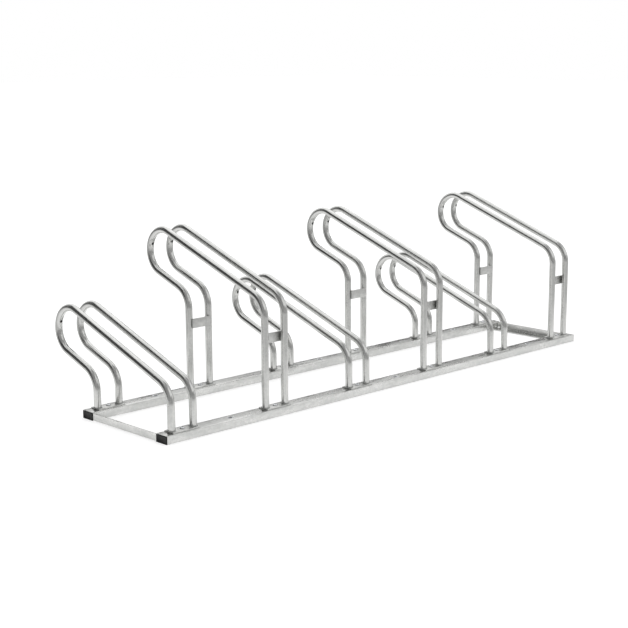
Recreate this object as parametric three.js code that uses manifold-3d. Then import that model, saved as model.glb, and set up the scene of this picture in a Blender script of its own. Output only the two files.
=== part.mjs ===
import * as THREE from "three";
import { mergeVertices } from "three/addons/utils/BufferGeometryUtils.js";
import Module from "manifold-3d";

// Floor bike rack for six bicycles, low and high places in turn, made of hot-dip galvanised steel.
// Millimetres. +X runs along the rails, +Y from the front rail to the rear rail, +Z up from the floor.
// Lengths along X are counted from the axis of the first hoop, lengths along Y from midway between the rails.

const manifold = await Module();
manifold.setup();

// Places: each is a pair of hoops that holds a wheel between them
const placeCount = 6;
const placePitch = 350;
const tyreGap = 55; // clear width between the two hoops
const highStep = 200; // every second place stands this much higher

// Hoops: one bent tube each
const tubeDiameter = 22;
const tubeWall = 2;
const legBendRadius = 70; // of the centre line, as for the head
const headRadius = 70;
const slopeDegrees = 20; // rise of both sloping runs towards the rear
const shoulderHeight = 147; // where a low hoop's front leg and upper run would cross
const headReach = 468; // from the front leg to the middle of the head
const ventDiameter = 7; // drains the zinc bath, on the inside of the head

// Rails: rectangular hollow section
const railWidth = 50;
const railHeight = 25;
const railWall = 2;
const railCornerRadius = 2.5;
const leastCornerRadius = 0.2; // inside the rail and on the plugs
const railSpacing = 350; // centre to centre, and so between a hoop's two legs
const railOverhang = 34.5; // rail end past the axis of the outermost hoop
const anchorHoleDiameter = 14; // floor bolts, after every second place

// Foot strips, under both front legs or both rear legs of a place
const stripWidth = 40;
const stripThickness = 4;
const stripOverhang = 9.5; // past the axis of each leg

// Tie plates between the legs of a high place
const tieThickness = 5;
const tieHeight = 30;
const tieLevel = 232.5; // middle of the plate above the floor
const tieInset = 2.5; // its end short of the leg's axis

// Button-head screws and the threaded inserts in the rail's upper wall
const screwDiameter = 8;
const screwLength = 18;
const screwHeadDiameter = 16;
const screwHeadHeight = 4.6;
const screwHeadRim = 1.2;
const screwDomeDegrees = 60; // of its arc, from the rim to the flat top
const socketWidth = 5; // across the flats
const socketDepth = 2.4;
const insertDiameter = 11;
const insertLength = 11;
const boreClearance = 0.3; // all round the screw

// Cross angles between the rails, cold bent from sheet
const angleThickness = 3;
const angleBendRadius = 4; // outer
const leftAngleHeight = 22;
const leftAngleFoot = 45; // both feet lie on the floor and point inwards
const rightAngleFoot = 45;
const rightAngleSetback = 10.5; // its heel short of the rail end
const drainHoleDiameter = 10; // drilled through the right angle's heel for the zinc bath
const drainHoleMargin = 8; // its middle from the rail

// End plugs
const plugFlange = 2;
const plugEdge = 1.5; // flange short of the rail's sides and top, level with its underside
const plugShank = 16;
const plugFinCount = 3;
const plugFinThickness = 1.2;
const plugFinHeight = 2.2;
const plugClearance = 0.3;

// Facets
const tubeSides = 12;
const boreSides = 6;
const legBendSteps = 4;
const headStepDegrees = 22.5; // at most, between the stations of the head
const holeSides = 10;
const domeSteps = 2;
const cornerSteps = 2;

const slope = THREE.MathUtils.degToRad(slopeDegrees);
const hoopSpacing = tyreGap + tubeDiameter;
const lastHoopX = (placeCount - 1) * placePitch + hoopSpacing;
const railLength = lastHoopX + 2 * railOverhang;
const legBaseZ = railHeight + stripThickness;
const railInnerY = (railSpacing - railWidth) / 2;

const sectionAlongX = new THREE.Matrix4().makeBasis(
  new THREE.Vector3(0, 1, 0),
  new THREE.Vector3(0, 0, 1),
  new THREE.Vector3(1, 0, 0),
);
const sectionAlongY = new THREE.Matrix4().makeBasis(
  new THREE.Vector3(1, 0, 0),
  new THREE.Vector3(0, 0, 1),
  new THREE.Vector3(0, -1, 0),
);

const finishes = {
  galvanised: { color: 0xb4b6b8, roughness: 0.45, metalness: 0.85 },
  galvanisedRail: { color: 0xc2c4c5, roughness: 0.5, metalness: 0.85 },
  zincPlated: { color: 0xd2d3d4, roughness: 0.3, metalness: 0.95 },
  blackPlastic: { color: 0x1d1e20, roughness: 0.6, metalness: 0 },
};

function piece(name, geometry, finish) {
  const mesh = new THREE.Mesh(geometry, new THREE.MeshStandardMaterial(finishes[finish]));
  mesh.name = name;
  return mesh;
}

function toSolid(geometry) {
  const bare = geometry.clone();
  bare.deleteAttribute("normal");
  bare.deleteAttribute("uv");
  const merged = mergeVertices(bare, 1e-4);
  return new manifold.Manifold(
    new manifold.Mesh({
      numProp: 3,
      vertProperties: merged.attributes.position.array,
      triVerts: new Uint32Array(merged.index.array),
    }),
  );
}

function toGeometry(solid) {
  const mesh = solid.getMesh();
  const geometry = new THREE.BufferGeometry();
  geometry.setAttribute("position", new THREE.BufferAttribute(new Float32Array(mesh.vertProperties), 3));
  geometry.setIndex(new THREE.BufferAttribute(new Uint32Array(mesh.triVerts), 1));
  geometry.computeVertexNormals();
  return geometry;
}

function drill(diameter, length, sides = holeSides) {
  return new THREE.CylinderGeometry(diameter / 2, diameter / 2, length, sides).rotateX(Math.PI / 2);
}

function roundOutline(radius, sides) {
  const points = [];
  for (let side = 0; side < sides; side++) {
    const angle = (side / sides) * 2 * Math.PI;
    points.push(new THREE.Vector2(radius * Math.cos(angle), radius * Math.sin(angle)));
  }
  return points;
}

// Rectangle with rounded corners, its middle at (0, height / 2)
function rectOutline(width, height, radius) {
  const points = [];
  const corners = [
    [width / 2 - radius, radius, -90],
    [width / 2 - radius, height - radius, 0],
    [radius - width / 2, height - radius, 90],
    [radius - width / 2, radius, 180],
  ];
  for (const [x, y, start] of corners) {
    for (let step = 0; step <= cornerSteps; step++) {
      const angle = THREE.MathUtils.degToRad(start + (90 * step) / cornerSteps);
      points.push(new THREE.Vector2(x + radius * Math.cos(angle), y + radius * Math.sin(angle)));
    }
  }
  return points;
}

// A flat run of straights and bends. Its parameter counts stations, so each straight takes one step.
class BentLine extends THREE.Curve {
  constructor() {
    super();
    this.stations = [];
  }

  // Adds a point of the Y-Z plane where the line heads in the given direction
  station(y, z, heading) {
    this.stations.push({
      point: new THREE.Vector3(0, y, z),
      tangent: new THREE.Vector3(0, Math.cos(heading), Math.sin(heading)),
    });
  }

  // Adds a bend that turns the heading from one direction to another about a centre
  bend(centreY, centreZ, radius, fromHeading, toHeading, steps) {
    const side = toHeading < fromHeading ? Math.PI / 2 : -Math.PI / 2;
    for (let step = 0; step <= steps; step++) {
      const heading = fromHeading + ((toHeading - fromHeading) * step) / steps;
      const y = centreY + radius * Math.cos(heading + side);
      const z = centreZ + radius * Math.sin(heading + side);
      this.station(y, z, heading);
    }
  }

  getPoint(t, target = new THREE.Vector3()) {
    const place = t * (this.stations.length - 1);
    const before = Math.min(Math.floor(place), this.stations.length - 2);
    return target
      .copy(this.stations[before].point)
      .lerp(this.stations[before + 1].point, place - before);
  }

  getTangent(t, target = new THREE.Vector3()) {
    const nearest = Math.round(t * (this.stations.length - 1));
    return target.copy(this.stations[nearest].tangent);
  }

  getUtoTmapping(u) {
    return u;
  }
}

// Front leg up, upper run back to the head, round it, lower run forward, rear leg down
function hoopLine(shoulderZ) {
  const frontY = -railSpacing / 2;
  const rearY = railSpacing / 2;
  const rise = Math.tan(slope);
  const turn = Math.PI / 2 - slope;
  const tangentLength = legBendRadius * Math.tan(turn / 2);
  const headZ = shoulderZ + headReach * rise - headRadius / Math.cos(slope);
  const rearCornerZ = shoulderZ + railSpacing * rise - (2 * headRadius) / Math.cos(slope);
  const line = new BentLine();
  line.station(frontY, legBaseZ, Math.PI / 2);
  line.bend(
    frontY + legBendRadius,
    shoulderZ - tangentLength,
    legBendRadius,
    Math.PI / 2,
    slope,
    legBendSteps,
  );
  // The head turns in three stretches, so that stations lie at its highest, rearmost and lowest points
  const headTurns = [slope, 0, -Math.PI / 2, slope - Math.PI];
  for (let turnNumber = 1; turnNumber < headTurns.length; turnNumber++) {
    const from = headTurns[turnNumber - 1];
    const to = headTurns[turnNumber];
    const steps = Math.ceil(Math.round(THREE.MathUtils.radToDeg(from - to)) / headStepDegrees);
    line.bend(frontY + headReach, headZ, headRadius, from, to, steps);
  }
  line.bend(
    rearY + legBendRadius,
    rearCornerZ - tangentLength,
    legBendRadius,
    slope - Math.PI,
    -Math.PI / 2,
    legBendSteps,
  );
  line.station(rearY, legBaseZ, -Math.PI / 2);
  return { line, headY: frontY + headReach, headZ };
}

function hoopGeometry(shoulderZ) {
  const { line, headY, headZ } = hoopLine(shoulderZ);
  const section = new THREE.Shape(roundOutline(tubeDiameter / 2, tubeSides));
  section.holes.push(new THREE.Path(roundOutline(tubeDiameter / 2 - tubeWall, boreSides)));
  const tube = new THREE.ExtrudeGeometry(section, {
    steps: line.stations.length - 1,
    extrudePath: line,
    bevelEnabled: false,
  });
  // The drill comes from the middle of the head along the slope and stops at the tube's centre line
  const vent = drill(ventDiameter, tubeDiameter)
    .rotateX(slope - Math.PI / 2)
    .translate(
      0,
      headY + (headRadius - tubeDiameter / 2) * Math.cos(slope),
      headZ + (headRadius - tubeDiameter / 2) * Math.sin(slope),
    );
  return toGeometry(toSolid(tube).subtract(toSolid(vent)));
}

// A rail from x = 0 to its length, standing on z = 0, middle at y = 0
function railGeometry(screwXs, anchorXs) {
  const section = new THREE.Shape(rectOutline(railWidth, railHeight, railCornerRadius));
  const bore = rectOutline(
    railWidth - 2 * railWall,
    railHeight - 2 * railWall,
    Math.max(railCornerRadius - railWall, leastCornerRadius),
  );
  for (const point of bore) {
    point.y += railWall;
  }
  section.holes.push(new THREE.Path(bore));
  const profile = new THREE.ExtrudeGeometry(section, { depth: railLength, bevelEnabled: false });
  let rail = toSolid(profile.applyMatrix4(sectionAlongX));
  for (const x of screwXs) {
    const top = railHeight - railWall / 2;
    const insert = drill(insertDiameter, insertLength).translate(x, 0, top - insertLength / 2);
    rail = rail.add(toSolid(insert));
  }
  for (const x of screwXs) {
    const bored = drill(screwDiameter + 2 * boreClearance, 2 * insertLength + railWall);
    rail = rail.subtract(toSolid(bored.translate(x, 0, railHeight)));
  }
  for (const x of anchorXs) {
    rail = rail.subtract(toSolid(drill(anchorHoleDiameter, 3 * railHeight).translate(x, 0, 0)));
  }
  return toGeometry(rail);
}

// A plug with its flange's inner face at x = 0 and its finned shank towards +X
function plugGeometry() {
  const flange = new THREE.Shape(
    rectOutline(
      railWidth - 2 * plugEdge,
      railHeight - plugEdge,
      Math.max(railCornerRadius - plugEdge, leastCornerRadius),
    ),
  );
  const boreWidth = railWidth - 2 * railWall - 2 * plugClearance;
  const boreHeight = railHeight - 2 * railWall - 2 * plugClearance;
  const cap = new THREE.ExtrudeGeometry(flange, { depth: plugFlange, bevelEnabled: false })
    .applyMatrix4(sectionAlongX)
    .translate(-plugFlange, 0, 0);
  const core = new THREE.BoxGeometry(
    plugShank + plugFlange / 2,
    boreWidth - 2 * plugFinHeight,
    boreHeight - 2 * plugFinHeight,
  ).translate((plugShank - plugFlange / 2) / 2, 0, railHeight / 2);
  let plug = toSolid(cap).add(toSolid(core));
  for (let fin = 1; fin <= plugFinCount; fin++) {
    const x = (fin * plugShank) / (plugFinCount + 0.5);
    const plate = new THREE.BoxGeometry(plugFinThickness, boreWidth, boreHeight);
    plug = plug.add(toSolid(plate.translate(x, 0, railHeight / 2)));
  }
  return toGeometry(plug);
}

// The strip's middle is at x = 0, y = 0, its underside on z = 0
function stripGeometry() {
  const length = hoopSpacing + 2 * stripOverhang;
  const plate = new THREE.BoxGeometry(length, stripWidth, stripThickness);
  const hole = drill(screwDiameter + 2 * boreClearance, 3 * stripThickness);
  return toGeometry(toSolid(plate).subtract(toSolid(hole))).translate(0, 0, stripThickness / 2);
}

// Button head on z = 0, shank downwards, hexagon socket in the top
function screwGeometry() {
  const headRadiusAt = screwHeadDiameter / 2;
  const domeAngle = THREE.MathUtils.degToRad(screwDomeDegrees);
  const domeHeight = (screwHeadHeight - screwHeadRim) / Math.sin(domeAngle);
  const profile = [
    new THREE.Vector2(0, -screwLength),
    new THREE.Vector2(screwDiameter / 2, -screwLength),
    new THREE.Vector2(screwDiameter / 2, 0),
    new THREE.Vector2(headRadiusAt, 0),
  ];
  for (let step = 0; step <= domeSteps; step++) {
    const angle = (domeAngle * step) / domeSteps;
    const z = screwHeadRim + domeHeight * Math.sin(angle);
    profile.push(new THREE.Vector2(headRadiusAt * Math.cos(angle), z));
  }
  profile.push(new THREE.Vector2(0, screwHeadHeight));
  const body = new THREE.LatheGeometry(profile, holeSides).rotateX(Math.PI / 2);
  const socketRadius = socketWidth / Math.sqrt(3);
  const socket = drill(2 * socketRadius, 2 * socketDepth, 6).translate(0, 0, screwHeadHeight);
  return toGeometry(toSolid(body).subtract(toSolid(socket)));
}

// Between the two legs, on the side of them that faces the middle of the rack
function tiePlateGeometry() {
  return new THREE.BoxGeometry(hoopSpacing - 2 * tieInset, tieThickness, tieHeight);
}

// L section in the X-Z plane, heel at the origin, one leg along +X and one along +Z
function angleGeometry(legX, legZ) {
  const length = 2 * railInnerY;
  const inner = angleBendRadius - angleThickness;
  const outline = new THREE.Shape();
  outline.moveTo(angleBendRadius, 0);
  outline.lineTo(legX, 0);
  outline.lineTo(legX, angleThickness);
  outline.lineTo(angleBendRadius, angleThickness);
  outline.absarc(angleBendRadius, angleBendRadius, inner, -Math.PI / 2, -Math.PI, true);
  outline.lineTo(angleThickness, legZ);
  outline.lineTo(0, legZ);
  outline.lineTo(0, angleBendRadius);
  outline.absarc(angleBendRadius, angleBendRadius, angleBendRadius, Math.PI, 1.5 * Math.PI, false);
  const bar = new THREE.ExtrudeGeometry(outline, {
    depth: length,
    curveSegments: cornerSteps,
    bevelEnabled: false,
  });
  return bar.applyMatrix4(sectionAlongY).translate(0, length / 2, 0);
}

const rack = new THREE.Group();
const railStartX = -railOverhang;
const railEndX = lastHoopX + railOverhang;
const screwXs = [];
const anchorXs = [];
for (let place = 0; place < placeCount; place++) {
  const middleX = place * placePitch + hoopSpacing / 2;
  screwXs.push(middleX - railStartX);
  if (place % 2 === 0 && place + 1 < placeCount) {
    anchorXs.push(middleX + placePitch / 2 - railStartX);
  }
}

for (const [end, side] of [["front", -1], ["rear", 1]]) {
  const rail = piece("rail_" + end, railGeometry(screwXs, anchorXs), "galvanisedRail");
  rail.position.set(railStartX, (side * railSpacing) / 2, 0);
  const leftPlug = piece("end_plug_" + end + "_left", plugGeometry(), "blackPlastic");
  leftPlug.position.set(railStartX, (side * railSpacing) / 2, 0);
  const rightPlug = piece("end_plug_" + end + "_right", plugGeometry(), "blackPlastic");
  rightPlug.position.set(railEndX, (side * railSpacing) / 2, 0);
  rightPlug.rotation.z = Math.PI;
  rack.add(rail, leftPlug, rightPlug);
}

const leftAngle = piece("cross_angle_left", angleGeometry(leftAngleFoot, leftAngleHeight), "galvanisedRail");
leftAngle.position.x = railStartX;
rack.add(leftAngle);

// The right angle is the same kind of section turned about, its heel drained at both ends
let rightSection = toSolid(angleGeometry(rightAngleFoot, railHeight));
for (const side of [-1, 1]) {
  const hole = drill(drainHoleDiameter, 4 * drainHoleDiameter)
    .rotateY(Math.PI / 4)
    .translate(0, side * (railInnerY - drainHoleMargin), 0);
  rightSection = rightSection.subtract(toSolid(hole));
}
const rightAngle = piece("cross_angle_right", toGeometry(rightSection), "galvanisedRail");
rightAngle.position.x = railEndX - rightAngleSetback;
rightAngle.rotation.z = Math.PI;
rack.add(rightAngle);

for (let place = 0; place < placeCount; place++) {
  const high = place % 2 === 1;
  const number = place + 1;
  const group = new THREE.Group();
  group.position.x = place * placePitch;
  for (const [hand, x] of [["left", 0], ["right", hoopSpacing]]) {
    const geometry = hoopGeometry(shoulderHeight + (high ? highStep : 0));
    const hoop = piece("hoop_" + number + "_" + hand, geometry, "galvanised");
    hoop.position.x = x;
    group.add(hoop);
  }
  for (const [end, side] of [["front", -1], ["rear", 1]]) {
    const strip = piece("foot_strip_" + number + "_" + end, stripGeometry(), "galvanised");
    strip.position.set(hoopSpacing / 2, (side * railSpacing) / 2, railHeight);
    const screw = piece("screw_" + number + "_" + end, screwGeometry(), "zincPlated");
    screw.position.set(hoopSpacing / 2, (side * railSpacing) / 2, legBaseZ);
    group.add(strip, screw);
    if (high) {
      const tie = piece("tie_plate_" + number + "_" + end, tiePlateGeometry(), "galvanised");
      const tieY = (railSpacing - tubeDiameter - tieThickness) / 2;
      tie.position.set(hoopSpacing / 2, side * tieY, tieLevel);
      group.add(tie);
    }
  }
  rack.add(group);
}

// The origin goes to the floor under the middle of the whole rack
const outline = new THREE.Box3().setFromObject(rack, true);
const middle = outline.getCenter(new THREE.Vector3());
rack.position.set(-middle.x, -middle.y, -outline.min.z);

const bikeRack = new THREE.Group();
bikeRack.add(rack);

export default bikeRack;
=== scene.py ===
import math
import bpy
import bmesh
from mathutils import Matrix, Vector, kdtree, noise


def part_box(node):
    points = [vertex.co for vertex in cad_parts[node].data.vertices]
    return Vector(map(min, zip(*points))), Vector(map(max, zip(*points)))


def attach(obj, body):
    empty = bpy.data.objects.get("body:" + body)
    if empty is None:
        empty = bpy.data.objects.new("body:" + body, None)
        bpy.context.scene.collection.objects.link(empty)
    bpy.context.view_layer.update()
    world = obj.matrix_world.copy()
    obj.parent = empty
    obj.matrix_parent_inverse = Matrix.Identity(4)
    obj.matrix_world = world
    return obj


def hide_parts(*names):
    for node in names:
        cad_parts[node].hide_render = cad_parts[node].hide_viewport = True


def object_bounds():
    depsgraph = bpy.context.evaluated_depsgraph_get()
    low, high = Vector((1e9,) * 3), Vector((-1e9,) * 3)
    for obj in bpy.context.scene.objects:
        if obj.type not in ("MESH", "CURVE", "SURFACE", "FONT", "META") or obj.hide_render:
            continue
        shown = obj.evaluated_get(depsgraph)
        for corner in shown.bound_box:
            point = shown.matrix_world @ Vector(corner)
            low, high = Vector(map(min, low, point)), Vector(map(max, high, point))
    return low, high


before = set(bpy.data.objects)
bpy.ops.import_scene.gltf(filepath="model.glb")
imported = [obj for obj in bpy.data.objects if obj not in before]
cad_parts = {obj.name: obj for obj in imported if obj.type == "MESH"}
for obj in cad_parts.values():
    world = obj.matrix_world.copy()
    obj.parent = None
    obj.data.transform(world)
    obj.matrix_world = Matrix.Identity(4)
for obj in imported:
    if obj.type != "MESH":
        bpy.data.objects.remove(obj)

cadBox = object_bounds()
mm = 0.001
xAxis = Vector((1, 0, 0))
yAxis = Vector((0, 1, 0))
zAxis = Vector((0, 0, 1))
places = range(1, 7)  # from the left, low and high in turn
print("rack loaded:", len(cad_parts), "solids")


def linearColour(hexText):
    channels = [int(hexText[i:i + 2], 16) / 255 for i in (0, 2, 4)]
    return tuple(c / 12.92 if c <= 0.04045 else ((c + 0.055) / 1.055) ** 2.4 for c in channels) + (1.0,)


# Adds a node, sets its properties and sockets by name or number, and links its inputs
def addNode(tree, kind, settings=None, links=None):
    node = tree.nodes.new(kind)
    for key, value in (settings or {}).items():
        if isinstance(key, int) or key in node.inputs:
            node.inputs[key].default_value = value
        else:
            setattr(node, key, value)
    for key, source in (links or {}).items():
        tree.links.new(source, node.inputs[key])
    return node


def startMaterial(name):
    material = bpy.data.materials.new(name)
    material.use_nodes = True
    tree = material.node_tree
    tree.nodes.clear()
    output = addNode(tree, "ShaderNodeOutputMaterial")
    shader = addNode(tree, "ShaderNodeBsdfPrincipled")
    tree.links.new(shader.outputs["BSDF"], output.inputs["Surface"])
    return material, tree, shader


grainName = "tubeGrain"  # the tubes' own coordinates, which follow the bends
hoopLook = {
    "dullHex": "c0c1bf", "brightHex": "dadad8", "spangleMm": 6.0, "cloudMm": 16.0, "speckMm": 5.0,
    "crystalTone": 0.16, "cloudTone": 0.3, "speckTone": 0.2, "roughness": 0.19, "roughSpread": 0.03,
    "bump": 0.25, "stretch": None, "boreMm": 9.4, "skinMm": 10.6, "paintedBoreShade": 0.06,
}
railLook = dict(hoopLook, dullHex="cccdcb", brightHex="e8e8e6", spangleMm=8.0, roughness=0.3, cloudMm=30.0,
                stretch=(0.22, 1.0, 1.0))
angleLook = dict(railLook, stretch=(1.0, 0.22, 1.0))
flatLook = dict(hoopLook, dullHex="c3c4c2", brightHex="dededc", roughness=0.42, stretch=(1.0, 1.0, 1.0))
# painted shade: the weld zinc is drawn darker than the flat zinc, as the welds lie in the shaded corners
# round the feet and plates; its greater roughness and bump are the weld's own
weldShadedLook = dict(flatLook, dullHex="9a9c9b", brightHex="c6c7c5", spangleMm=3.0, roughness=0.36, bump=0.7)
zincSkin = {
    "bendPatch": 1.5, "bendMm": 2.0,  # the crystals' outlines wander this far, in patches of 1.5 crystals
    "darkNoise": 0.3, "brightNoise": 0.7, "middleTone": 0.5,
    "cloudPolish": -0.35,  # the bright clouds are also the smoother ones
    "crystalRise": 0.35, "riseMm": 0.08,
}


# Hot-dip galvanised steel: zinc crystals of a few millimetres that catch the light one by one,
# cloudy grey patches where the bath ran off, streaks along the drawn section and a faintly uneven skin.
# A look with no stretch is a tube's: it follows the bends, and its bore is darkened with painted shade
def galvanisedSteel(name, look):
    material, tree, shader = startMaterial(name)
    shader.inputs["Metallic"].default_value = 1.0
    place = addNode(tree, "ShaderNodeTexCoord").outputs["Object"]
    bend = addNode(tree, "ShaderNodeTexNoise",
                   {"Scale": 1000 / look["spangleMm"] / zincSkin["bendPatch"], "Detail": 2.0},
                   {"Vector": place})
    wobble = addNode(tree, "ShaderNodeVectorMath",
                     {"operation": "MULTIPLY_ADD", 1: (zincSkin["bendMm"] * mm,) * 3},
                     {0: bend.outputs["Color"], 2: place})
    spangle = addNode(tree, "ShaderNodeTexVoronoi", {"Scale": 1000 / look["spangleMm"]},
                      {"Vector": wobble.outputs[0]})
    crystal = addNode(tree, "ShaderNodeSeparateColor", {}, {"Color": spangle.outputs["Color"]})
    if look["stretch"]:
        drawn = addNode(tree, "ShaderNodeVectorMath", {"operation": "MULTIPLY", 1: look["stretch"]},
                        {0: place})
    else:
        drawn = addNode(tree, "ShaderNodeAttribute", {"attribute_name": grainName})
    drawnPlace = drawn.outputs["Vector"]
    cloud = addNode(tree, "ShaderNodeTexNoise",
                    {"Scale": 1000 / look["cloudMm"], "Detail": 4.0, "Roughness": 0.6},
                    {"Vector": drawnPlace})
    speck = addNode(tree, "ShaderNodeTexNoise",
                    {"Scale": 1000 / look["speckMm"], "Detail": 3.0, "Roughness": 0.7},
                    {"Vector": drawnPlace})
    crystalTone = addNode(tree, "ShaderNodeMapRange",
                          {"To Min": -look["crystalTone"], "To Max": look["crystalTone"]},
                          {"Value": crystal.outputs["Red"]})
    noiseRange = {"From Min": zincSkin["darkNoise"], "From Max": zincSkin["brightNoise"]}
    cloudTone = addNode(tree, "ShaderNodeMapRange",
                        dict(noiseRange, **{"To Min": -look["cloudTone"], "To Max": look["cloudTone"]}),
                        {"Value": cloud.outputs["Fac"]})
    speckTone = addNode(tree, "ShaderNodeMapRange",
                        dict(noiseRange, **{"To Min": -look["speckTone"], "To Max": look["speckTone"]}),
                        {"Value": speck.outputs["Fac"]})
    twoTones = addNode(tree, "ShaderNodeMath", {"operation": "ADD"},
                       {0: crystalTone.outputs[0], 1: cloudTone.outputs[0]})
    allTones = addNode(tree, "ShaderNodeMath", {"operation": "ADD"},
                       {0: twoTones.outputs[0], 1: speckTone.outputs[0]})
    mixing = addNode(tree, "ShaderNodeMath",
                     {"operation": "ADD", 1: zincSkin["middleTone"], "use_clamp": True},
                     {0: allTones.outputs[0]})
    colour = addNode(tree, "ShaderNodeMix",
                     {"data_type": "RGBA", 6: linearColour(look["dullHex"]),
                      7: linearColour(look["brightHex"])},
                     {0: mixing.outputs[0]})
    finalColour = colour.outputs[2]
    if not look["stretch"]:  # painted shade: the bore is darkened, as the inside of the tube lies in shade
        section = addNode(tree, "ShaderNodeVectorMath", {"operation": "MULTIPLY", 1: (1, 1, 0)},
                          {0: drawnPlace})
        fromAxis = addNode(tree, "ShaderNodeVectorMath", {"operation": "LENGTH"}, {0: section.outputs[0]})
        shade = addNode(tree, "ShaderNodeMapRange",
                        {"From Min": look["boreMm"] * mm, "From Max": look["skinMm"] * mm,
                         "To Min": look["paintedBoreShade"], "To Max": 1.0},
                        {"Value": fromAxis.outputs["Value"]})
        shaded = addNode(tree, "ShaderNodeVectorMath", {"operation": "SCALE"},
                         {0: finalColour, "Scale": shade.outputs[0]})
        finalColour = shaded.outputs[0]
    tree.links.new(finalColour, shader.inputs["Base Color"])
    rough = addNode(tree, "ShaderNodeMapRange",
                    {"To Min": look["roughness"] + look["roughSpread"],
                     "To Max": look["roughness"] - look["roughSpread"]},
                    {"Value": crystal.outputs["Green"]})
    roughCloud = addNode(tree, "ShaderNodeMath", {"operation": "MULTIPLY_ADD", 1: zincSkin["cloudPolish"]},
                         {0: cloudTone.outputs[0], 2: rough.outputs[0]})
    tree.links.new(roughCloud.outputs[0], shader.inputs["Roughness"])
    # the zinc skin stands a few hundredths of a millimetre up and down
    height = addNode(tree, "ShaderNodeMath", {"operation": "MULTIPLY_ADD", 1: zincSkin["crystalRise"]},
                     {0: crystal.outputs["Blue"], 2: cloud.outputs["Fac"]})
    bump = addNode(tree, "ShaderNodeBump", {"Strength": look["bump"], "Distance": zincSkin["riseMm"] * mm},
                   {"Height": height.outputs[0]})
    tree.links.new(bump.outputs["Normal"], shader.inputs["Normal"])
    return material


hoopZinc = galvanisedSteel("galvanised_tube_zinc", hoopLook)
railZinc = galvanisedSteel("galvanised_rail_zinc", railLook)
angleZinc = galvanisedSteel("galvanised_angle_zinc", angleLook)
flatZinc = galvanisedSteel("galvanised_flat_zinc", flatLook)
weldZincPaintedShade = galvanisedSteel("galvanised_weld_zinc_painted_shade", weldShadedLook)

platingLook = {"darkHex": "d9dcde", "lightHex": "f0f1f2", "grainMm": 2.5, "smooth": 0.1, "rough": 0.2,
               "bump": 0.2, "riseMm": 0.05}


# Bright zinc plating on the screws: smooth and bluish white, with a faint uneven grain that is drawn
# coarser than it is, so that it shows. The bare zinc lips round the anchor holes shine alike
def zincPlating():
    material, tree, shader = startMaterial("bright_zinc_plating")
    shader.inputs["Metallic"].default_value = 1.0
    place = addNode(tree, "ShaderNodeTexCoord").outputs["Object"]
    grain = addNode(tree, "ShaderNodeTexNoise", {"Scale": 1000 / platingLook["grainMm"], "Detail": 3.0},
                    {"Vector": place})
    colour = addNode(tree, "ShaderNodeMix",
                     {"data_type": "RGBA", 6: linearColour(platingLook["darkHex"]),
                      7: linearColour(platingLook["lightHex"])},
                     {0: grain.outputs["Fac"]})
    rough = addNode(tree, "ShaderNodeMapRange",
                    {"To Min": platingLook["smooth"], "To Max": platingLook["rough"]},
                    {"Value": grain.outputs["Fac"]})
    bump = addNode(tree, "ShaderNodeBump",
                   {"Strength": platingLook["bump"], "Distance": platingLook["riseMm"] * mm},
                   {"Height": grain.outputs["Fac"]})
    tree.links.new(colour.outputs[2], shader.inputs["Base Color"])
    tree.links.new(rough.outputs[0], shader.inputs["Roughness"])
    tree.links.new(bump.outputs["Normal"], shader.inputs["Normal"])
    return material


mouldedLook = {"darkHex": "060606", "rubbedHex": "131414", "ior": 1.51, "shine": 0.3, "grainMm": 0.8,
               "rubMm": 14, "smooth": 0.4, "rough": 0.6, "bump": 0.35, "riseMm": 0.06}


# Moulded polyethylene: black with a spark-eroded grain, drawn coarser than it is so that it shows,
# and slightly greyer where it is rubbed
def mouldedBlack():
    material, tree, shader = startMaterial("moulded_polyethylene_black")
    shader.inputs["IOR"].default_value = mouldedLook["ior"]
    shader.inputs["Specular IOR Level"].default_value = mouldedLook["shine"]
    place = addNode(tree, "ShaderNodeTexCoord").outputs["Object"]
    grain = addNode(tree, "ShaderNodeTexNoise", {"Scale": 1000 / mouldedLook["grainMm"], "Detail": 2.0},
                    {"Vector": place})
    rub = addNode(tree, "ShaderNodeTexNoise", {"Scale": 1000 / mouldedLook["rubMm"], "Detail": 3.0},
                  {"Vector": place})
    colour = addNode(tree, "ShaderNodeMix",
                     {"data_type": "RGBA", 6: linearColour(mouldedLook["darkHex"]),
                      7: linearColour(mouldedLook["rubbedHex"])},
                     {0: rub.outputs["Fac"]})
    rough = addNode(tree, "ShaderNodeMapRange",
                    {"To Min": mouldedLook["smooth"], "To Max": mouldedLook["rough"]},
                    {"Value": rub.outputs["Fac"]})
    bump = addNode(tree, "ShaderNodeBump",
                   {"Strength": mouldedLook["bump"], "Distance": mouldedLook["riseMm"] * mm},
                   {"Height": grain.outputs["Fac"]})
    tree.links.new(colour.outputs[2], shader.inputs["Base Color"])
    tree.links.new(rough.outputs[0], shader.inputs["Roughness"])
    tree.links.new(bump.outputs["Normal"], shader.inputs["Normal"])
    return material


screwZinc = zincPlating()
plugBlack = mouldedBlack()
print("finishes mixed")


def addObject(name, mesh, material):
    rackPart = bpy.data.objects.new(name, mesh)
    bpy.context.scene.collection.objects.link(rackPart)
    if material:
        mesh.materials.append(material)
    return rackPart


def finishPiece(piece, slotName, *nodes):
    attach(piece, "root")
    if nodes:
        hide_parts(*nodes)


def smoothMesh(mesh, sharpDegrees=32):
    mesh.shade_smooth()
    mesh.set_sharp_from_angle(angle=math.radians(sharpDegrees))


def meshFrom(build, name):
    mesh = bpy.data.meshes.new(name)
    build.to_mesh(mesh)
    build.free()
    return mesh


# As meshFrom, with every face turned outwards
def closedMeshFrom(build, name):
    bmesh.ops.recalc_face_normals(build, faces=build.faces)
    return meshFrom(build, name)


# Joins two rings of corners by a band of faces
def bridgeRings(build, first, second):
    for i in range(len(first)):
        j = (i + 1) % len(first)
        build.faces.new((first[i], first[j], second[j], second[i]))


def addRings(build, loops):
    return [[build.verts.new(p) for p in loop] for loop in loops]


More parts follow.
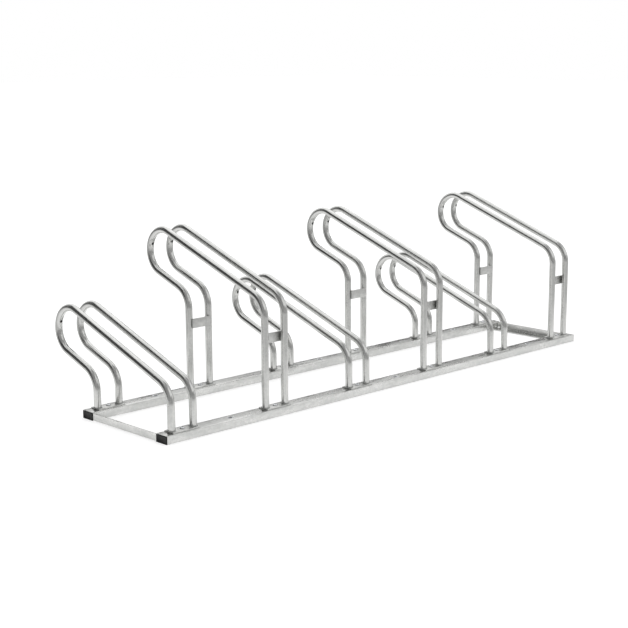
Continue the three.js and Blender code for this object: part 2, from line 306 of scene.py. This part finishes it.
# Joins loops of equal length into one skin, closed into a ring or capped at its two ends
def addLoft(build, loops, closed=False):
    rings = addRings(build, loops)
    for first, second in zip(rings, rings[1:] + rings[:1] if closed else rings[1:]):
        bridgeRings(build, first, second)
    if not closed:
        build.faces.new(rings[0])
        build.faces.new(rings[-1])


def solidLoft(name, loops):
    build = bmesh.new()
    addLoft(build, loops)
    return closedMeshFrom(build, name)


# Joins outer and inner loops into a hollow section with two open ends
def hollowSweep(name, outerLoops, innerLoops):
    build = bmesh.new()
    outer = addRings(build, outerLoops)
    inner = addRings(build, innerLoops)
    for first, second in zip(outer, outer[1:]):
        bridgeRings(build, first, second)
    for first, second in zip(inner, inner[1:]):
        bridgeRings(build, second, first)
    for end in (0, -1):
        bridgeRings(build, outer[end], inner[end])
    return closedMeshFrom(build, name)


def addBlock(build, middle, size):
    bmesh.ops.create_cube(build, size=1, matrix=Matrix.Translation(middle) @ Matrix.Diagonal((*size, 1)))


def roundLoop(centre, across, along, radius, count):
    return [centre + across * (radius * math.cos(2 * math.pi * i / count))
            + along * (radius * math.sin(2 * math.pi * i / count)) for i in range(count)]


def drillRod(name, start, end, radius, count=32):
    axis = (end - start).normalized()
    across = axis.orthogonal().normalized()
    along = axis.cross(across)
    return solidLoft(name, [roundLoop(point, across, along, radius, count) for point in (start, end)])


# Cuts rods out of a mesh and gives back the new mesh
def cutOut(mesh, rods):
    target = addObject("cutting_target", mesh, None)
    helpers = []
    for rod in rods:
        helper = addObject("cutting_rod", rod, None)
        helpers.append(helper)
        cut = target.modifiers.new("cut", "BOOLEAN")
        cut.object = helper
        cut.operation = "DIFFERENCE"
        cut.solver = "EXACT"
    graph = bpy.context.evaluated_depsgraph_get()
    result = bpy.data.meshes.new_from_object(target.evaluated_get(graph))
    for helper in helpers + [target]:
        bpy.data.objects.remove(helper)
    return result


def boxMiddle(node):
    low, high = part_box(node)
    return (low + high) / 2


# Y of midway between the rails, which the hoops' bends are counted from
midY = (boxMiddle("rail_front").y + boxMiddle("rail_rear").y) / 2

hoop = {
    "radius": 11.0, "wall": 2.0, "bendRadius": 70.0, "legToLeg": 350.0, "slope": 20.0, "shoulder": 147.0,
    "highStep": 200.0, "headReach": 468.0, "footZ": 29.0, "ventRadius": 3.5, "ventDepth": 25.0,
    "sides": 40, "degreesPerRing": 4.0,
    "flattening": 0.02, "flatteningRun": 0.25,  # full from a quarter of the way into a bend
    "grainStretch": 0.12, "sameCornerMm": 0.01,
}


# Stations of the centre line in the Y-Z plane: (y, z, heading, how far into a bend from 0 to 1)
def hoopStations(high):
    slope = math.radians(hoop["slope"])
    bendR = hoop["bendRadius"]
    frontY = -hoop["legToLeg"] / 2
    rearY = hoop["legToLeg"] / 2
    shoulder = hoop["shoulder"] + (hoop["highStep"] if high else 0)
    tangentLength = bendR * math.tan((math.pi / 2 - slope) / 2)
    headY = frontY + hoop["headReach"]
    headZ = shoulder + hoop["headReach"] * math.tan(slope) - bendR / math.cos(slope)
    rearCorner = shoulder + hoop["legToLeg"] * math.tan(slope) - 2 * bendR / math.cos(slope)
    stations = [(frontY, hoop["footZ"], math.pi / 2, 0.0)]

    def addBend(y, z, fromHeading, toHeading):
        side = math.pi / 2 if toHeading < fromHeading else -math.pi / 2
        steps = round(abs(math.degrees(toHeading - fromHeading)) / hoop["degreesPerRing"])
        for step in range(steps + 1):
            heading = fromHeading + (toHeading - fromHeading) * step / steps
            depth = min(1.0, min(step, steps - step) / steps / hoop["flatteningRun"])
            stations.append((y + bendR * math.cos(heading + side), z + bendR * math.sin(heading + side),
                             heading, depth))

    addBend(frontY + bendR, shoulder - tangentLength, math.pi / 2, slope)
    addBend(headY, headZ, slope, slope - math.pi)
    addBend(rearY + bendR, rearCorner - tangentLength, slope - math.pi, -math.pi / 2)
    stations.append((rearY, hoop["footZ"], -math.pi / 2, 0.0))
    return stations, headY, headZ


# Each corner of the pierced tube takes the grain coordinates of the nearest corner of the whole one,
# and the edge of the vent takes those of the bore, so that the bore's painted shade darkens it too
def carryGrain(pierced, corners, grains):
    finder = kdtree.KDTree(len(corners))
    for i, point in enumerate(corners):
        finder.insert(point, i)
    finder.balance()
    values = []
    for vertex in pierced.vertices:
        _, i, gap = finder.find(vertex.co)
        inward = 1 if gap < hoop["sameCornerMm"] * mm else 1 - hoop["wall"] / hoop["radius"]
        values += [grains[i].x * inward, grains[i].y * inward, grains[i].z]
    pierced.attributes.new(grainName, "FLOAT_VECTOR", "POINT").data.foreach_set("vector", values)


def hoopMesh(name, high):
    stations, headY, headZ = hoopStations(high)
    radii = {"outer": hoop["radius"], "inner": hoop["radius"] - hoop["wall"]}
    loops = {"outer": [], "inner": []}
    grain = {"outer": [], "inner": []}
    travelled = 0.0
    for i, (y, z, heading, depth) in enumerate(stations):
        if i:
            travelled += math.hypot(y - stations[i - 1][0], z - stations[i - 1][1])
        centre = Vector((0, y, z))
        inPlane = Vector((0, -math.sin(heading), math.cos(heading)))
        squeeze = 1 - hoop["flattening"] * depth
        unrolled = Vector((0, 0, travelled * hoop["grainStretch"])) * mm
        for skin, radius in radii.items():
            ring = roundLoop(centre, xAxis, inPlane * squeeze, radius, hoop["sides"])
            loops[skin].append([p * mm for p in ring])
            grain[skin] += roundLoop(unrolled, xAxis, yAxis, radius * mm, hoop["sides"])
    tube = hollowSweep(name, loops["outer"], loops["inner"])
    slope = math.radians(hoop["slope"])
    outward = Vector((0, math.cos(slope), math.sin(slope)))
    apex = Vector((0, headY, headZ)) + outward * hoop["bendRadius"]
    ventStart = apex - outward * hoop["ventDepth"]
    vent = drillRod("vent_drill", ventStart * mm, apex * mm, hoop["ventRadius"] * mm)
    pierced = cutOut(tube, [vent])
    corners = [point for skin in ("outer", "inner") for loop in loops[skin] for point in loop]
    carryGrain(pierced, corners, grain["outer"] + grain["inner"])
    return pierced


hoopKinds = {high: hoopMesh("hoop_high" if high else "hoop_low", high) for high in (False, True)}
for place in places:
    for hand in ("left", "right"):
        node = f"hoop_{place}_{hand}"
        mesh = hoopKinds[place % 2 == 0].copy()
        mesh.transform(Matrix.Translation((boxMiddle(node).x, midY, 0)))
        smoothMesh(mesh)
        finishPiece(addObject(f"bent_hoop_{place}_{hand}", mesh, hoopZinc), "galvanised_tube", node)
print("hoops bent")

rail = {"width": 50.0, "height": 25.0, "wall": 2.0, "corner": 2.5, "boreCorner": 0.6, "cornerSteps": 6,
        "anchorRadius": 7.0, "drillFrom": -5.0, "drillTo": 40.0}


def rectLoop(width, height, radius, steps):
    points = []
    for x, y, start in ((width / 2 - radius, radius, -90), (width / 2 - radius, height - radius, 0),
                        (radius - width / 2, height - radius, 90), (radius - width / 2, radius, 180)):
        for step in range(steps + 1):
            angle = math.radians(start + 90 * step / steps)
            points.append((x + radius * math.cos(angle), y + radius * math.sin(angle)))
    return points


# X of the middles of the anchor holes: halfway between two places
def anchorXs(end):
    return [(boxMiddle(f"foot_strip_{place}_{end}").x + boxMiddle(f"foot_strip_{place + 1}_{end}").x) / 2
            for place in places[::2]]


def railMesh(end):
    low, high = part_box(f"rail_{end}")
    middleY = (low.y + high.y) / 2
    wall = rail["wall"]
    outer = rectLoop(rail["width"], rail["height"], rail["corner"], rail["cornerSteps"])
    bore = rectLoop(rail["width"] - 2 * wall, rail["height"] - 2 * wall, rail["boreCorner"],
                    rail["cornerSteps"])
    inner = [(u, v + wall) for u, v in bore]
    skins = [[[Vector((x, middleY + u * mm, v * mm)) for u, v in loop] for x in (low.x, high.x)]
             for loop in (outer, inner)]
    section = hollowSweep(f"rail_{end}_section", *skins)
    drills = []
    for x in anchorXs(end):
        drills.append(drillRod("anchor_drill", Vector((x, middleY, rail["drillFrom"] * mm)),
                               Vector((x, middleY, rail["drillTo"] * mm)), rail["anchorRadius"] * mm))
    return cutOut(section, drills)


for end in ("front", "rear"):
    mesh = railMesh(end)
    smoothMesh(mesh)
    finishPiece(addObject(f"box_rail_{end}", mesh, railZinc), "galvanised_rail", f"rail_{end}")
print("rails drawn")

flat = {"stripEdge": 0.6, "tieEdge": 0.8, "edgeSteps": 3, "holeRadius": 4.3, "drillReach": 20.0}


# A flat plate with slightly rounded edges, filling the box of its node
def plateMesh(node, edge, holeRadius=None):
    low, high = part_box(node)
    middle = (low + high) / 2
    build = bmesh.new()
    addBlock(build, middle, high - low)
    bmesh.ops.bevel(build, geom=build.edges[:], offset=edge * mm, segments=flat["edgeSteps"], profile=0.5,
                    affect="EDGES")
    mesh = meshFrom(build, node)
    if holeRadius:
        reach = zAxis * (flat["drillReach"] * mm)
        mesh = cutOut(mesh, [drillRod("strip_drill", middle - reach, middle + reach, holeRadius * mm)])
    return mesh


for place in places:
    for end in ("front", "rear"):
        node = f"foot_strip_{place}_{end}"
        mesh = plateMesh(node, flat["stripEdge"], flat["holeRadius"])
        smoothMesh(mesh)
        finishPiece(addObject(f"flat_strip_{place}_{end}", mesh, flatZinc), "galvanised_flat", node)
        if place % 2 == 0:
            node = f"tie_plate_{place}_{end}"
            mesh = plateMesh(node, flat["tieEdge"])
            smoothMesh(mesh)
            finishPiece(addObject(f"flat_tie_{place}_{end}", mesh, flatZinc), "galvanised_flat", node)
print("strips and tie plates cut")

screw = {
    "shankRadius": 4.0, "length": 18.0, "headRadius": 8.0, "headHeight": 4.6, "rim": 1.2, "rimEdge": 0.3,
    "domeDegrees": 62, "domeSteps": 8, "domeShift": 0.18, "domeSpread": 0.8,  # shares of the head's radius
    "socket": 2.9, "socketSides": 6, "socketDepth": 2.4, "cutterRise": 2.0, "sides": 40, "sharpDegrees": 40,
    "turnPerPlace": 37, "turnAtRear": 19,  # degrees: no two sockets stand alike
}


def screwMesh():
    head = screw["headRadius"]
    edge = screw["rimEdge"]
    rim = screw["rim"]
    dome = screw["headHeight"] - rim
    cutAngle = math.radians(screw["domeDegrees"])
    profile = [(screw["shankRadius"], -screw["length"]), (screw["shankRadius"], 0), (head - edge, 0),
               (head, edge), (head, rim - edge)]
    for step in range(screw["domeSteps"] + 1):  # the dome's quarter ellipse, cut flat on top
        angle = math.radians(screw["domeDegrees"] * step / screw["domeSteps"])
        profile.append((head * (screw["domeShift"] + screw["domeSpread"] * math.cos(angle)),
                        rim + dome * math.sin(angle) / math.sin(cutAngle)))
    loops = [roundLoop(zAxis * (z * mm), xAxis, yAxis, r * mm, screw["sides"]) for r, z in profile]
    mesh = solidLoft("button_head", loops)
    top = screw["headHeight"]
    socket = drillRod("socket_cutter", zAxis * ((top - screw["socketDepth"]) * mm),
                      zAxis * ((top + screw["cutterRise"]) * mm), screw["socket"] * mm, screw["socketSides"])
    return cutOut(mesh, [socket])


buttonHead = screwMesh()
smoothMesh(buttonHead, screw["sharpDegrees"])
for place in places:
    for end in ("front", "rear"):
        node = f"screw_{place}_{end}"
        middle = boxMiddle(node)
        mesh = buttonHead.copy()
        turn = screw["turnPerPlace"] * place + (screw["turnAtRear"] if end == "rear" else 0)
        mesh.transform(Matrix.Translation((middle.x, middle.y, hoop["footZ"] * mm))
                       @ Matrix.Rotation(math.radians(turn), 4, "Z"))
        finishPiece(addObject(f"button_screw_{place}_{end}", mesh, screwZinc), "zinc_plated", node)
print("screws turned")

plug = {
    "corner": 1.0, "leastCorner": 0.5, "steps": 5, "flange": 2.0,
    "edge": ((0.9, 0.0), (0.45, 0.12), (0.12, 0.45), (0.0, 0.95)),  # depth under the face, then inset
    "rimWidth": 3.4, "sunk": 0.45, "sunkSlope": 0.5, "fins": 3, "finGap": 0.3, "finHeight": 2.2,
    "finPitch": 4.6, "finThickness": 1.2, "sharpDegrees": 50,
}


# Flange with a soft outer edge and a shallow sunk field, shank and fins behind it
def plugMesh(node, facing):
    low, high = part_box(node)
    middleY = boxMiddle(node).y
    width = (high.y - low.y) / mm
    height = (high.z - low.z) / mm
    thick = plug["flange"]
    backX = low.x + thick * mm if facing < 0 else high.x - thick * mm

    def flangeLoop(depth, inset):
        corner = max(plug["corner"] - inset, plug["leastCorner"])
        outline = rectLoop(width - 2 * inset, height - 2 * inset, corner, plug["steps"])
        return [Vector((backX + facing * depth * mm, middleY + u * mm, low.z + (v + inset) * mm))
                for u, v in outline]

    loops = [flangeLoop(0, 0)] + [flangeLoop(thick - under, inset) for under, inset in plug["edge"]]
    loops.append(flangeLoop(thick, plug["rimWidth"]))
    loops.append(flangeLoop(thick - plug["sunk"], plug["rimWidth"] + plug["sunkSlope"]))
    build = bmesh.new()
    build.from_mesh(solidLoft("plug_flange", loops))
    boreWidth = rail["width"] - 2 * rail["wall"] - 2 * plug["finGap"]
    boreHeight = rail["height"] - 2 * rail["wall"] - 2 * plug["finGap"]
    shankEnd = low.x if facing > 0 else high.x
    boreZ = rail["height"] / 2 * mm
    addBlock(build, ((backX + shankEnd) / 2, middleY, boreZ),
             (abs(shankEnd - backX), (boreWidth - 2 * plug["finHeight"]) * mm,
              (boreHeight - 2 * plug["finHeight"]) * mm))
    for fin in range(1, plug["fins"] + 1):
        addBlock(build, (backX - facing * plug["finPitch"] * fin * mm, middleY, boreZ),
                 (plug["finThickness"] * mm, boreWidth * mm, boreHeight * mm))
    return meshFrom(build, node)


for end in ("front", "rear"):
    for hand, facing in (("left", -1), ("right", 1)):
        node = f"end_plug_{end}_{hand}"
        mesh = plugMesh(node, facing)
        smoothMesh(mesh, plug["sharpDegrees"])
        finishPiece(addObject(f"moulded_plug_{end}_{hand}", mesh, plugBlack), "black_plastic", node)
print("plugs moulded")

angleBar = {"thick": 3.0, "outerBend": 4.0, "steps": 7, "drainRadius": 5.0, "drainMargin": 8.0,
            "drillReach": 20.0}


# An L section bent from sheet, its heel on the floor on the outer side, its foot towards signX
def angleMesh(name, node, signX):
    low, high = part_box(node)
    heel = Vector((low.x if signX > 0 else high.x, 0, low.z))
    legX = (high.x - low.x) / mm
    legZ = (high.z - low.z) / mm
    thick = angleBar["thick"]
    bend = angleBar["outerBend"]
    outline = [(legX, 0), (legX, thick)]
    for step in range(angleBar["steps"] + 1):
        angle = math.radians(-90 - 90 * step / angleBar["steps"])
        outline.append((bend + (bend - thick) * math.cos(angle), bend + (bend - thick) * math.sin(angle)))
    outline += [(thick, legZ), (0, legZ)]
    for step in range(angleBar["steps"] + 1):
        angle = math.radians(180 + 90 * step / angleBar["steps"])
        outline.append((bend + bend * math.cos(angle), bend + bend * math.sin(angle)))
    loops = [[Vector((heel.x + signX * x * mm, y, heel.z + z * mm)) for x, z in outline]
             for y in (low.y, high.y)]
    return solidLoft(name, loops)


leftBar = angleMesh("left_bar", "cross_angle_left", 1)
rightBar = angleMesh("right_bar", "cross_angle_right", -1)
rightLow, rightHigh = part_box("cross_angle_right")
reach = angleBar["drillReach"] * mm  # each drain hole goes through the heel at 45 degrees
drills = []
for y in (rightLow.y + angleBar["drainMargin"] * mm, rightHigh.y - angleBar["drainMargin"] * mm):
    drills.append(drillRod("drain_drill", Vector((rightHigh.x + reach, y, -reach)),
                           Vector((rightHigh.x - reach, y, reach)), angleBar["drainRadius"] * mm))
rightBar = cutOut(rightBar, drills)
for hand, mesh in (("left", leftBar), ("right", rightBar)):
    smoothMesh(mesh)
    finishPiece(addObject(f"bent_cross_angle_{hand}", mesh, angleZinc), "galvanised_rail",
                f"cross_angle_{hand}")
print("cross angles bent")

weld = {
    "size": 1.7, "ripple": 0.3, "rippleMm": 2.6, "uneven": 0.5, "unevenPerMetre": 160, "sides": 10,
    "stepMm": 0.65, "leastSideways": 0.1, "endTaper": 0.04, "taperPower": 6, "sharpDegrees": 60,
    "ringSteps": 110, "ringGap": 0.3, "ringRise": 0.5,
    "margin": 2.5, "plateOffset": 1.8, "plateDepth": 2.4, "angleGap": 0.5, "angleDepth": 0.4,
    "lipRadius": 8.0, "lipSize": 1.5, "lipSteps": 60,
}


# A rippled bead along a line of points, closed into a ring or with rounded ends
def beadLoops(points, closed, size):
    loops = []
    count = len(points)
    travelled = 0.0
    for i, point in enumerate(points):
        before = points[i - 1] if i or closed else points[i]
        after = points[(i + 1) % count] if i + 1 < count or closed else points[i]
        ahead = (after - before).normalized()
        travelled += (point - points[i - 1]).length / mm if i else 0
        across = ahead.cross(zAxis)
        across = across.normalized() if across.length > weld["leastSideways"] else xAxis  # for upright beads
        along = across.cross(ahead)
        swell = size + weld["ripple"] * math.sin(2 * math.pi * travelled / weld["rippleMm"])
        swell += weld["uneven"] * noise.noise(point * weld["unevenPerMetre"])
        if not closed:
            fromMiddle = 2 * i / (count - 1) - 1
            swell *= math.sqrt(max(weld["endTaper"], 1 - fromMiddle ** weld["taperPower"]))
        loops.append(roundLoop(point, across, along, swell * mm, weld["sides"]))
    return loops


def addBead(build, points, closed, size=weld["size"]):
    addLoft(build, beadLoops(points, closed, size), closed)


def straightRun(start, end):
    steps = max(2, round((end - start).length / mm / weld["stepMm"]))
    return [start.lerp(end, i / steps) for i in range(steps + 1)]


def finishBeads(build, name, material, slotName):
    mesh = closedMeshFrom(build, name)
    smoothMesh(mesh, weld["sharpDegrees"])
    finishPiece(addObject(name, mesh, material), slotName)


for place in places:
    build = bmesh.new()
    legs = [boxMiddle(f"hoop_{place}_{hand}").x for hand in ("left", "right")]
    ringRadius = (hoop["radius"] + weld["ringGap"]) * mm
    for x in legs:
        for side in (-1, 1):
            centre = Vector((x, midY + side * hoop["legToLeg"] / 2 * mm,
                             (hoop["footZ"] + weld["ringRise"]) * mm))
            addBead(build, roundLoop(centre, xAxis, yAxis, ringRadius, weld["ringSteps"]), True)
    if place % 2 == 0:
        for end, inward in (("front", 1), ("rear", -1)):
            low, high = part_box(f"tie_plate_{place}_{end}")
            touchY = low.y if inward > 0 else high.y
            for x, away in ((legs[0], 1), (legs[1], -1)):
                # the bead lies at the plate's end, on the side away from the slot
                foot = Vector((x + away * weld["plateOffset"] * mm, touchY + inward * weld["plateDepth"] * mm,
                               low.z + weld["margin"] * mm))
                run = Vector((0, 0, high.z - low.z - 2 * weld["margin"] * mm))
                addBead(build, straightRun(foot, foot + run), False)
    finishBeads(build, f"weld_beads_{place}", weldZincPaintedShade, "galvanised_flat")

# the zinc stands up a little round each anchor hole, where the bath drained
for end in ("front", "rear"):
    build = bmesh.new()
    for x in anchorXs(end):
        rim = Vector((x, boxMiddle(f"rail_{end}").y, rail["height"] * mm))
        addBead(build, roundLoop(rim, xAxis, yAxis, weld["lipRadius"] * mm, weld["lipSteps"]), True,
                weld["lipSize"])
    finishBeads(build, f"zinc_lips_{end}", screwZinc, "galvanised_rail")

for hand in ("left", "right"):
    build = bmesh.new()
    low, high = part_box(f"cross_angle_{hand}")
    inset = (angleBar["thick"] + weld["angleGap"]) * mm
    x = low.x + inset if hand == "left" else high.x - inset
    for y, inward in ((low.y, 1), (high.y, -1)):
        start = Vector((x, y + inward * weld["angleDepth"] * mm, low.z + 2 * weld["margin"] * mm))
        addBead(build, straightRun(start, Vector((x, start.y, high.z - 2 * weld["margin"] * mm))), False)
    finishBeads(build, f"weld_beads_{hand}", weldZincPaintedShade, "galvanised_rail")
print("welds laid")

studio = {
    "floorHex": "cfcfcf", "patchHex": "d2d2d2", "patchMm": 500.0, "floorRoughness": 0.9, "floorShine": 0.1,
    "floorMetres": 60.0, "floorDropMm": 0.5, "floorLift": 0.5, "mirroredLift": 0.4,
    "fadeStart": 0.05, "fadeEnd": 1.1,  # metres from the rack
    "lowAngle": 0.2, "steepAngle": 0.5,  # sines of the angle at which a ray meets the floor
    "worldStrength": 1.0,
}


# Matt white floor: flat and pale, it only takes the rack's soft shadow
def whiteFloor():
    mesh = bpy.data.meshes.new("studio_floor")
    half = studio["floorMetres"] / 2
    corners = [(-half, -half, 0), (half, -half, 0), (half, half, 0), (-half, half, 0)]
    mesh.from_pydata(corners, [], [(0, 1, 2, 3)])
    material, tree, shader = startMaterial("matt_white_floor")
    shader.inputs["Roughness"].default_value = studio["floorRoughness"]
    shader.inputs["Specular IOR Level"].default_value = studio["floorShine"]
    place = addNode(tree, "ShaderNodeTexCoord").outputs["Object"]
    grain = addNode(tree, "ShaderNodeTexNoise", {"Scale": 1000 / studio["patchMm"], "Detail": 2.0},
                    {"Vector": place})
    colour = addNode(tree, "ShaderNodeMix",
                     {"data_type": "RGBA", 6: linearColour(studio["floorHex"]),
                      7: linearColour(studio["patchHex"])},
                     {0: grain.outputs["Fac"]})
    tree.links.new(colour.outputs[2], shader.inputs["Base Color"])
    # painted reflection: the floor glows for glossy rays, so that seen in the zinc it is bright near the rack
    # and from above, and dim far off at a low angle
    halfSize = (cadBox[1][0], cadBox[1][1], 0.0)
    spread = addNode(tree, "ShaderNodeVectorMath", {"operation": "ABSOLUTE"}, {0: place})
    beyond = addNode(tree, "ShaderNodeVectorMath", {"operation": "SUBTRACT", 1: halfSize},
                     {0: spread.outputs[0]})
    outside = addNode(tree, "ShaderNodeVectorMath", {"operation": "MAXIMUM", 1: (0, 0, 0)},
                      {0: beyond.outputs[0]})
    away = addNode(tree, "ShaderNodeVectorMath", {"operation": "LENGTH"}, {0: outside.outputs[0]})
    near = addNode(tree, "ShaderNodeMapRange",
                   {"From Min": studio["fadeStart"], "From Max": studio["fadeEnd"],
                    "To Min": studio["mirroredLift"], "To Max": 0.0},
                   {"Value": away.outputs["Value"]})
    incoming = addNode(tree, "ShaderNodeNewGeometry").outputs["Incoming"]
    arrival = addNode(tree, "ShaderNodeSeparateXYZ", {}, {0: incoming})
    steep = addNode(tree, "ShaderNodeMapRange",
                    {"From Min": studio["lowAngle"], "From Max": studio["steepAngle"],
                     "To Min": 0.0, "To Max": studio["mirroredLift"]},
                    {"Value": arrival.outputs["Z"]})
    mirroredLift = addNode(tree, "ShaderNodeMath", {"operation": "MAXIMUM"},
                           {0: near.outputs[0], 1: steep.outputs[0]})
    rays = addNode(tree, "ShaderNodeLightPath")
    seen = addNode(tree, "ShaderNodeMath", {"operation": "ADD", "use_clamp": True},
                   {0: rays.outputs["Is Camera Ray"], 1: rays.outputs["Is Transmission Ray"]})
    direct = addNode(tree, "ShaderNodeMath", {"operation": "MULTIPLY", 1: studio["floorLift"]},
                     {0: seen.outputs[0]})
    lift = addNode(tree, "ShaderNodeMath", {"operation": "MULTIPLY_ADD"},
                   {0: rays.outputs["Is Glossy Ray"], 1: mirroredLift.outputs[0], 2: direct.outputs[0]})
    shader.inputs["Emission Color"].default_value = (1, 1, 1, 1)
    tree.links.new(lift.outputs[0], shader.inputs["Emission Strength"])
    floor = addObject("studio_floor", mesh, material)
    floor.location.z = -studio["floorDropMm"] * mm


def whiteWorld():
    world = bpy.data.worlds.new("white_studio")
    bpy.context.scene.world = world
    world.use_nodes = True
    tree = world.node_tree
    tree.nodes.clear()
    light = addNode(tree, "ShaderNodeBackground",
                    {"Color": (1, 1, 1, 1), "Strength": studio["worldStrength"]})
    output = addNode(tree, "ShaderNodeOutputWorld")
    tree.links.new(light.outputs[0], output.inputs["Surface"])
    world.cycles.sampling_method = "NONE"


# Grey cards stand round the rack as in a photo studio, and only its reflections show them. Each spans two
# bearings (0 is +X, 90 is +Y) and two heights above the horizon, in degrees. The greys are linear
cards = {
    "card_rear": {"bearings": (105, 132), "heights": (0, 50), "grey": 0.24},
    "card_left_rear": {"bearings": (132, 180), "heights": (0, 50), "grey": 0.1},
    "card_left": {"bearings": (180, 205), "heights": (0, 52), "grey": 0.42},
    "card_left_front": {"bearings": (205, 250), "heights": (0, 56), "grey": 0.49},
    "card_front": {"bearings": (250, 300), "heights": (0, 25), "grey": 0.5},
    "card_front_right": {"bearings": (300, 360), "heights": (0, 12), "grey": 0.64},
    "card_right": {"bearings": (335, 365), "heights": (25, 45), "grey": 0.5},
    "card_right_rear": {"bearings": (20, 70), "heights": (0, 18), "grey": 0.1},
    "card_ceiling": {"bearings": (198, 280), "heights": (56, 88), "grey": 0.72},
    "card_ceiling_front": {"bearings": (280, 345), "heights": (60, 88), "grey": 0.55},
}
cardSize = {"distance": 5.0, "stepDegrees": 5.0}


# A corner of a card, for a bearing and a height in radians
def cardCorner(bearing, height):
    return cardSize["distance"] * Vector((math.cos(bearing) * math.cos(height),
                                          math.sin(bearing) * math.cos(height), math.sin(height)))


def placeCards():
    for name, card in cards.items():
        (startTurn, endTurn), (bottom, top) = card["bearings"], card["heights"]
        turns = round((endTurn - startTurn) / cardSize["stepDegrees"])
        rows = max(1, round((top - bottom) / cardSize["stepDegrees"]))
        bearings = [math.radians(startTurn + (endTurn - startTurn) * i / turns) for i in range(turns + 1)]
        build = bmesh.new()
        grid = []
        for row in range(rows + 1):
            height = math.radians(bottom + (top - bottom) * row / rows)
            grid.append([build.verts.new(cardCorner(bearing, height)) for bearing in bearings])
        for lower, upper in zip(grid, grid[1:]):
            for i in range(turns):
                build.faces.new((lower[i], lower[i + 1], upper[i + 1], upper[i]))
        material, _, shader = startMaterial(name + "_felt")
        shader.inputs["Base Color"].default_value = (card["grey"],) * 3 + (1,)
        shader.inputs["Roughness"].default_value = 1.0
        shader.inputs["Specular IOR Level"].default_value = 0.0
        board = addObject(name, meshFrom(build, name), material)
        board.visible_camera = False
        board.visible_diffuse = False
        board.visible_transmission = False
        board.visible_shadow = False


softbox = {"at": (2.9, 2.9, 4.9), "aim": (0, 0, 0.2), "size": 7.0, "watts": 48.0}


def hangSoftbox():
    data = bpy.data.lights.new("softbox_right_rear", "AREA")
    data.shape = "SQUARE"
    data.size = softbox["size"]
    data.energy = softbox["watts"]
    light = bpy.data.objects.new("softbox_right_rear", data)
    bpy.context.scene.collection.objects.link(light)
    light.location = softbox["at"]
    aim = Vector(softbox["aim"]) - Vector(softbox["at"])
    light.rotation_euler = aim.to_track_quat("-Z", "Y").to_euler()


viewpoint = {"at": (-3.1795, -3.185, 1.085), "heading": 44.96, "down": 10.95, "lens": 78.64, "sensor": 36,
             "shift": (-0.0385, -0.0091)}


def placeCamera():
    data = bpy.data.cameras.new("rack_camera")
    data.lens = viewpoint["lens"]
    data.sensor_width = viewpoint["sensor"]
    data.shift_x, data.shift_y = viewpoint["shift"]
    camera = bpy.data.objects.new("rack_camera", data)
    bpy.context.scene.collection.objects.link(camera)
    camera.location = viewpoint["at"]
    camera.rotation_euler = (math.radians(90 - viewpoint["down"]), 0, math.radians(-viewpoint["heading"]))
    bpy.context.scene.camera = camera


whiteFloor()
whiteWorld()
placeCards()
hangSoftbox()
placeCamera()
bpy.context.scene.view_settings.view_transform = "Standard"
print("studio set")
